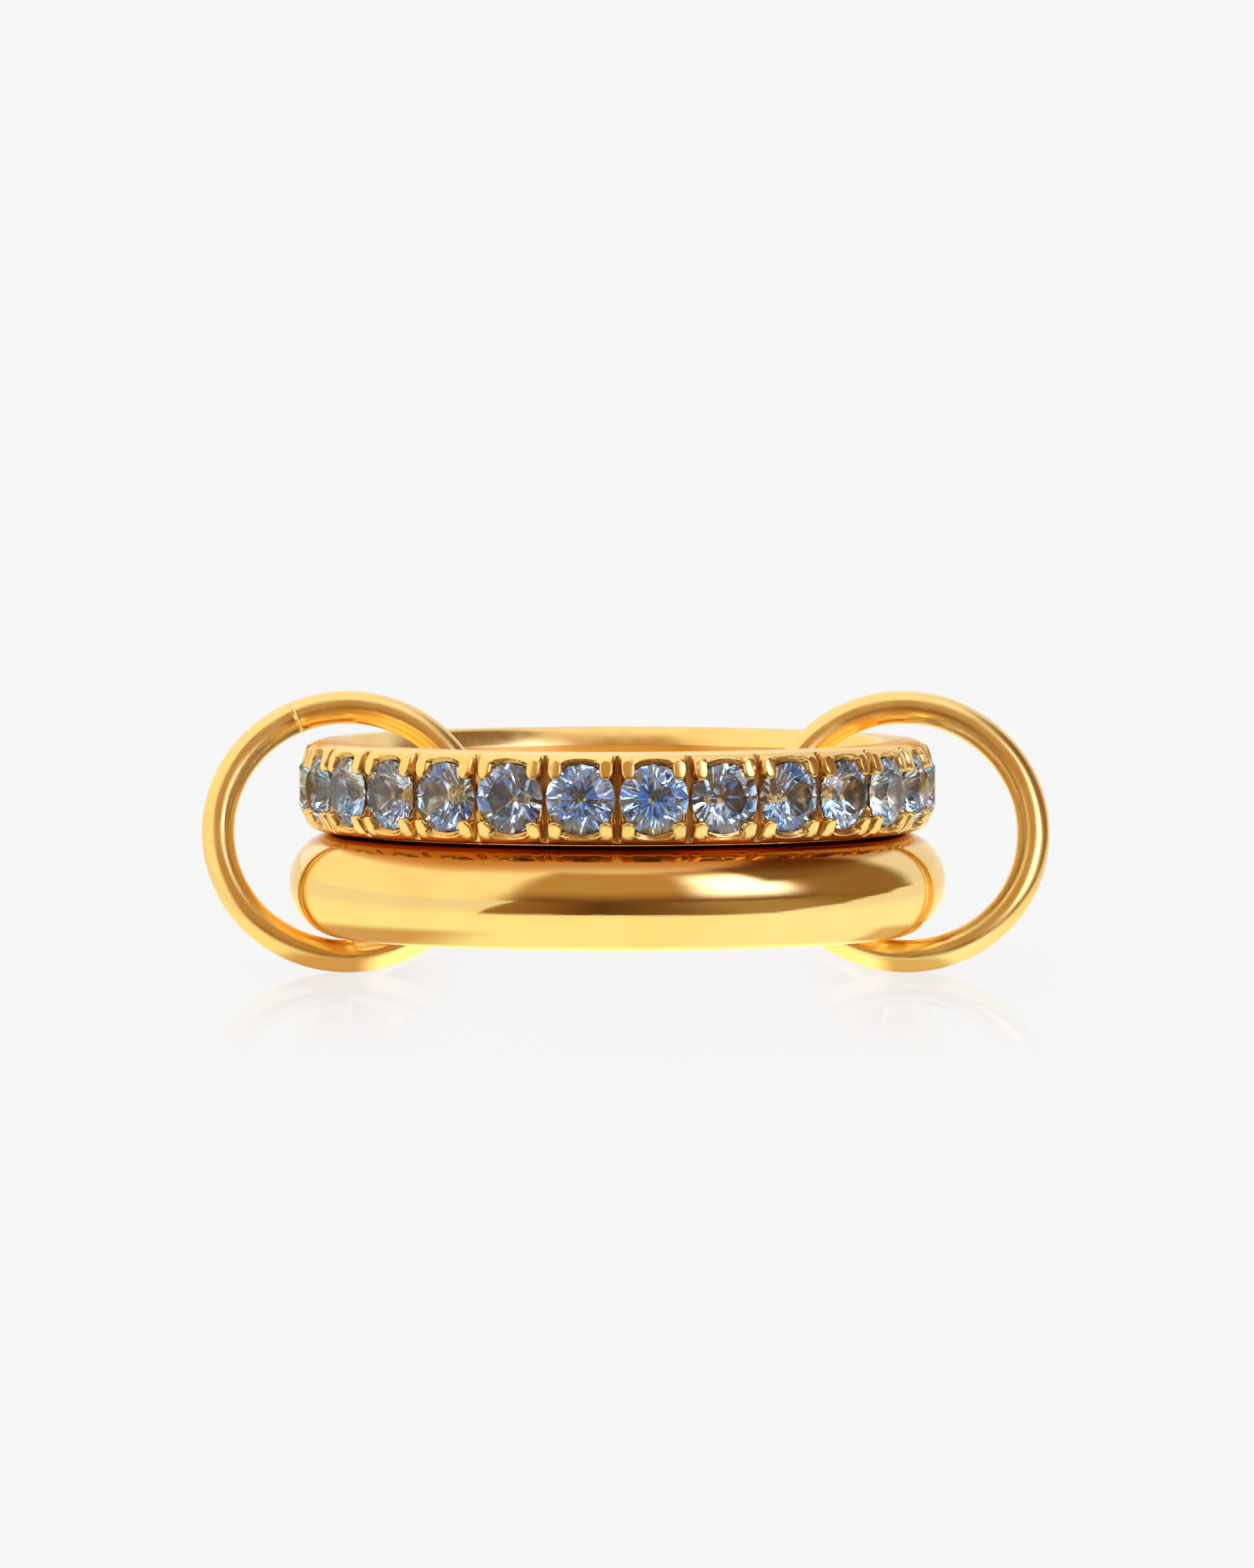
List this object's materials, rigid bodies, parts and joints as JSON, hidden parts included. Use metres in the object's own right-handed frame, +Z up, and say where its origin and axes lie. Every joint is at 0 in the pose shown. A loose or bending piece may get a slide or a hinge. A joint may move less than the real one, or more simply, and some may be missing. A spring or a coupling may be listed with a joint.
{
  "type": "ring",
  "caption": "Finger ring of a plain domed band and a stone-set band, stacked and held together by loose wire links.",
  "frame": {"origin": "on the resting surface, under the middle of the part's bounding box", "axes": "+X from the left link to the right link, +Y towards the back of the ring, +Z up; the finger axis is tipped 7.3 degrees from +Z towards +Y"},
  "size_m": [0.0278, 0.0216, 0.0088],
  "materials": {
    "gold": "polished",
    "blue_stone": "polished, faceted"
  },
  "bodies": {
    "plain_ring": {"plain_band": "gold"},
    "stone_ring": {"pave_band": "gold", "stone_01": "blue_stone", "stone_02": "blue_stone", "stone_03": "blue_stone", "stone_04": "blue_stone", "stone_05": "blue_stone", "stone_06": "blue_stone", "stone_07": "blue_stone", "stone_08": "blue_stone", "stone_09": "blue_stone", "stone_10": "blue_stone", "stone_11": "blue_stone", "stone_12": "blue_stone", "stone_13": "blue_stone", "stone_14": "blue_stone", "stone_15": "blue_stone", "stone_16": "blue_stone", "stone_17": "blue_stone", "stone_18": "blue_stone", "stone_19": "blue_stone", "stone_20": "blue_stone", "stone_21": "blue_stone", "stone_22": "blue_stone", "stone_23": "blue_stone", "stone_24": "blue_stone", "stone_25": "blue_stone", "stone_26": "blue_stone", "stone_27": "blue_stone"},
    "left_link": {"link_left": "gold"},
    "right_link": {"link_right": "gold"}
  },
  "joints": [
    {"name": "stone_ring_turn", "type": "hinge", "parent": "plain_ring", "child": "stone_ring", "pos_m": [-0.00028, -0.00028, 0.00121], "axis": [0, 0.1275, 0.9918], "continuous": true},
    {"name": "left_link_slide", "type": "hinge", "parent": "plain_ring", "child": "left_link", "pos_m": [-0.00028, -0.00028, 0.00121], "axis": [0, 0.1275, 0.9918], "range_deg": [-55, 55]},
    {"name": "right_link_slide", "type": "hinge", "parent": "plain_ring", "child": "right_link", "pos_m": [-0.00028, -0.00028, 0.00121], "axis": [0, 0.1275, 0.9918], "range_deg": [-55, 55]}
  ]
}
